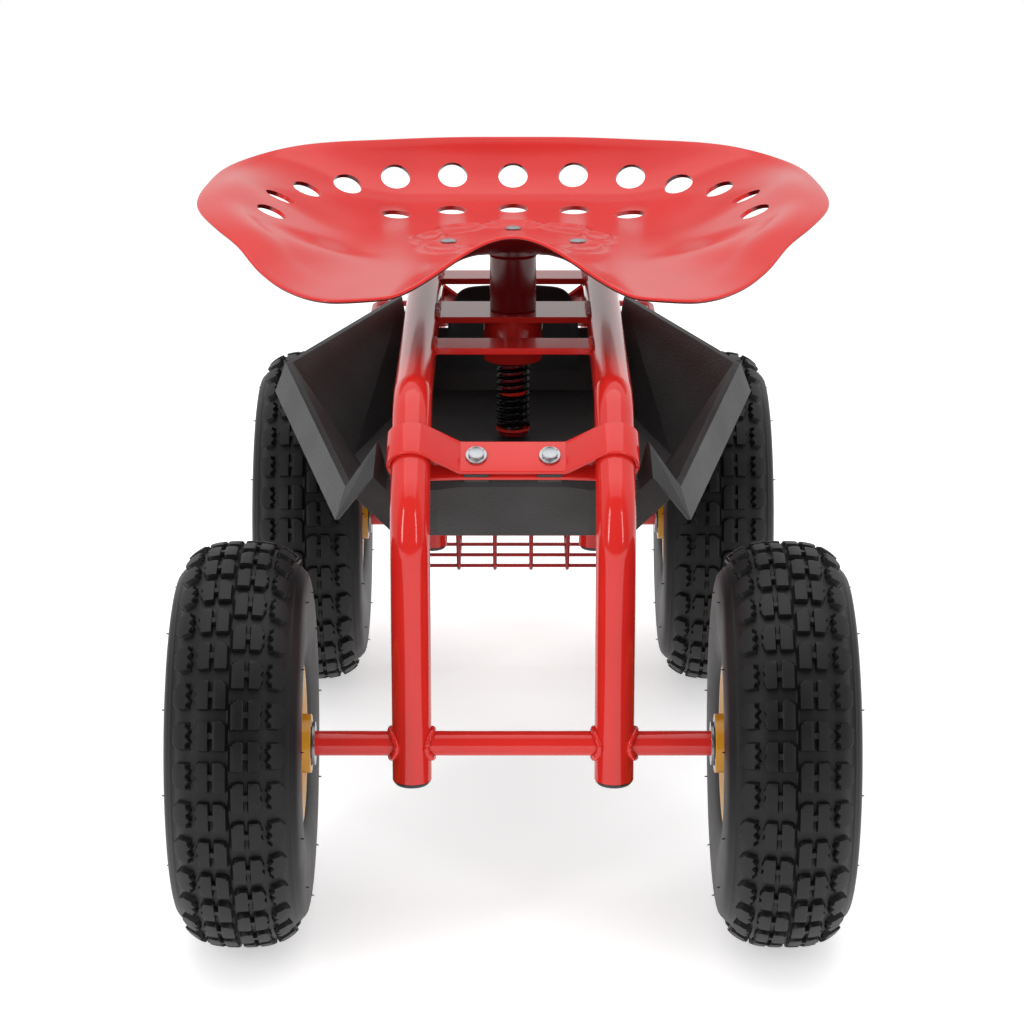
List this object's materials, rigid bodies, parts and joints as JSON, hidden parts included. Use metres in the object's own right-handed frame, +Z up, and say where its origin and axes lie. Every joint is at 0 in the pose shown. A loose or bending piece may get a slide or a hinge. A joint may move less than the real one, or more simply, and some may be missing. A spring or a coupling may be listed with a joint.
{
  "type": "rolling garden seat",
  "caption": "Low four-wheeled garden seat with a dished perforated seat on a screwed post, a tool tray under its bent tube frame and a wire basket behind.",
  "frame": {"origin": "on the ground, under the middle of the bounding box", "axes": "+X to the right across the seat, +Y from front to rear, +Z up"},
  "size_m": [0.445, 0.8532, 0.438],
  "materials": {
    "red_paint": "gloss",
    "dark_red_wire": "gloss",
    "yellow_paint": "gloss",
    "zinc": "satin",
    "black_plastic": "fine texture",
    "spring_steel": "oiled black",
    "tyre": "matte",
    "inner_rubber": "matte"
  },
  "bodies": {
    "frame": {"left_tube": "red_paint", "right_tube": "red_paint", "tube_plugs": "black_plastic", "front_axle": "red_paint", "rear_axle": "red_paint", "weld_beads": "red_paint", "front_plate": "red_paint", "seat_plate": "red_paint", "rear_plate": "red_paint", "collar": "red_paint", "front_clamp_outer": "red_paint", "front_clamp_inner": "red_paint", "rear_clamp_outer": "red_paint", "rear_clamp_inner": "red_paint", "clamp_pads": "black_plastic", "clamp_bolts": "zinc", "clamp_nuts": "zinc", "tool_tray": "black_plastic", "basket_rim": "dark_red_wire", "basket_cross_wires": "dark_red_wire", "basket_long_wires": "dark_red_wire", "basket_ring_wires": "dark_red_wire", "basket_clips": "red_paint", "clip_screws": "zinc", "wheel_washers": "zinc", "cotter_pins": "zinc"},
    "spring_carrier": {"spring": "spring_steel", "spring_washer": "red_paint"},
    "seat": {"seat_post": "red_paint", "post_screw": "red_paint", "end_nut": "red_paint", "seat_flange": "red_paint", "seat_pan": "red_paint", "seat_bolts": "zinc", "seat_nuts": "zinc"},
    "front_left_wheel": {"front_left_tyre": "tyre", "front_left_inner_tube": "inner_rubber", "front_left_rim": "yellow_paint", "front_left_rim_bolts": "zinc", "front_left_hub": "yellow_paint", "front_left_bearings": "zinc"},
    "front_right_wheel": {"front_right_tyre": "tyre", "front_right_inner_tube": "inner_rubber", "front_right_rim": "yellow_paint", "front_right_rim_bolts": "zinc", "front_right_hub": "yellow_paint", "front_right_bearings": "zinc"},
    "rear_left_wheel": {"rear_left_tyre": "tyre", "rear_left_inner_tube": "inner_rubber", "rear_left_rim": "yellow_paint", "rear_left_rim_bolts": "zinc", "rear_left_hub": "yellow_paint", "rear_left_bearings": "zinc"},
    "rear_right_wheel": {"rear_right_tyre": "tyre", "rear_right_inner_tube": "inner_rubber", "rear_right_rim": "yellow_paint", "rear_right_rim_bolts": "zinc", "rear_right_hub": "yellow_paint", "rear_right_bearings": "zinc"}
  },
  "joints": [
    {"name": "seat_rise", "type": "slide", "parent": "frame", "child": "spring_carrier", "axis": [0, 0, 1], "range_m": [0, 0.0201], "deforming": ["spring"]},
    {"name": "seat_turn", "type": "hinge", "parent": "spring_carrier", "child": "seat", "pos_m": [0, 0.01035, 0.36], "axis": [0, 0, 1], "range_deg": [0, 1440]},
    {"name": "front_left_spin", "type": "hinge", "parent": "frame", "child": "front_left_wheel", "pos_m": [-0.172, -0.29665, 0.13], "axis": [1, 0, 0], "continuous": true},
    {"name": "front_right_spin", "type": "hinge", "parent": "frame", "child": "front_right_wheel", "pos_m": [0.172, -0.29665, 0.13], "axis": [1, 0, 0], "continuous": true},
    {"name": "rear_left_spin", "type": "hinge", "parent": "frame", "child": "rear_left_wheel", "pos_m": [-0.1575, 0.21835, 0.13], "axis": [1, 0, 0], "continuous": true},
    {"name": "rear_right_spin", "type": "hinge", "parent": "frame", "child": "rear_right_wheel", "pos_m": [0.1575, 0.21835, 0.13], "axis": [1, 0, 0], "continuous": true}
  ],
  "couplings": [
    {"joint": "seat_rise", "follows": "seat_turn", "m_per_rad": 0.00079577}
  ]
}
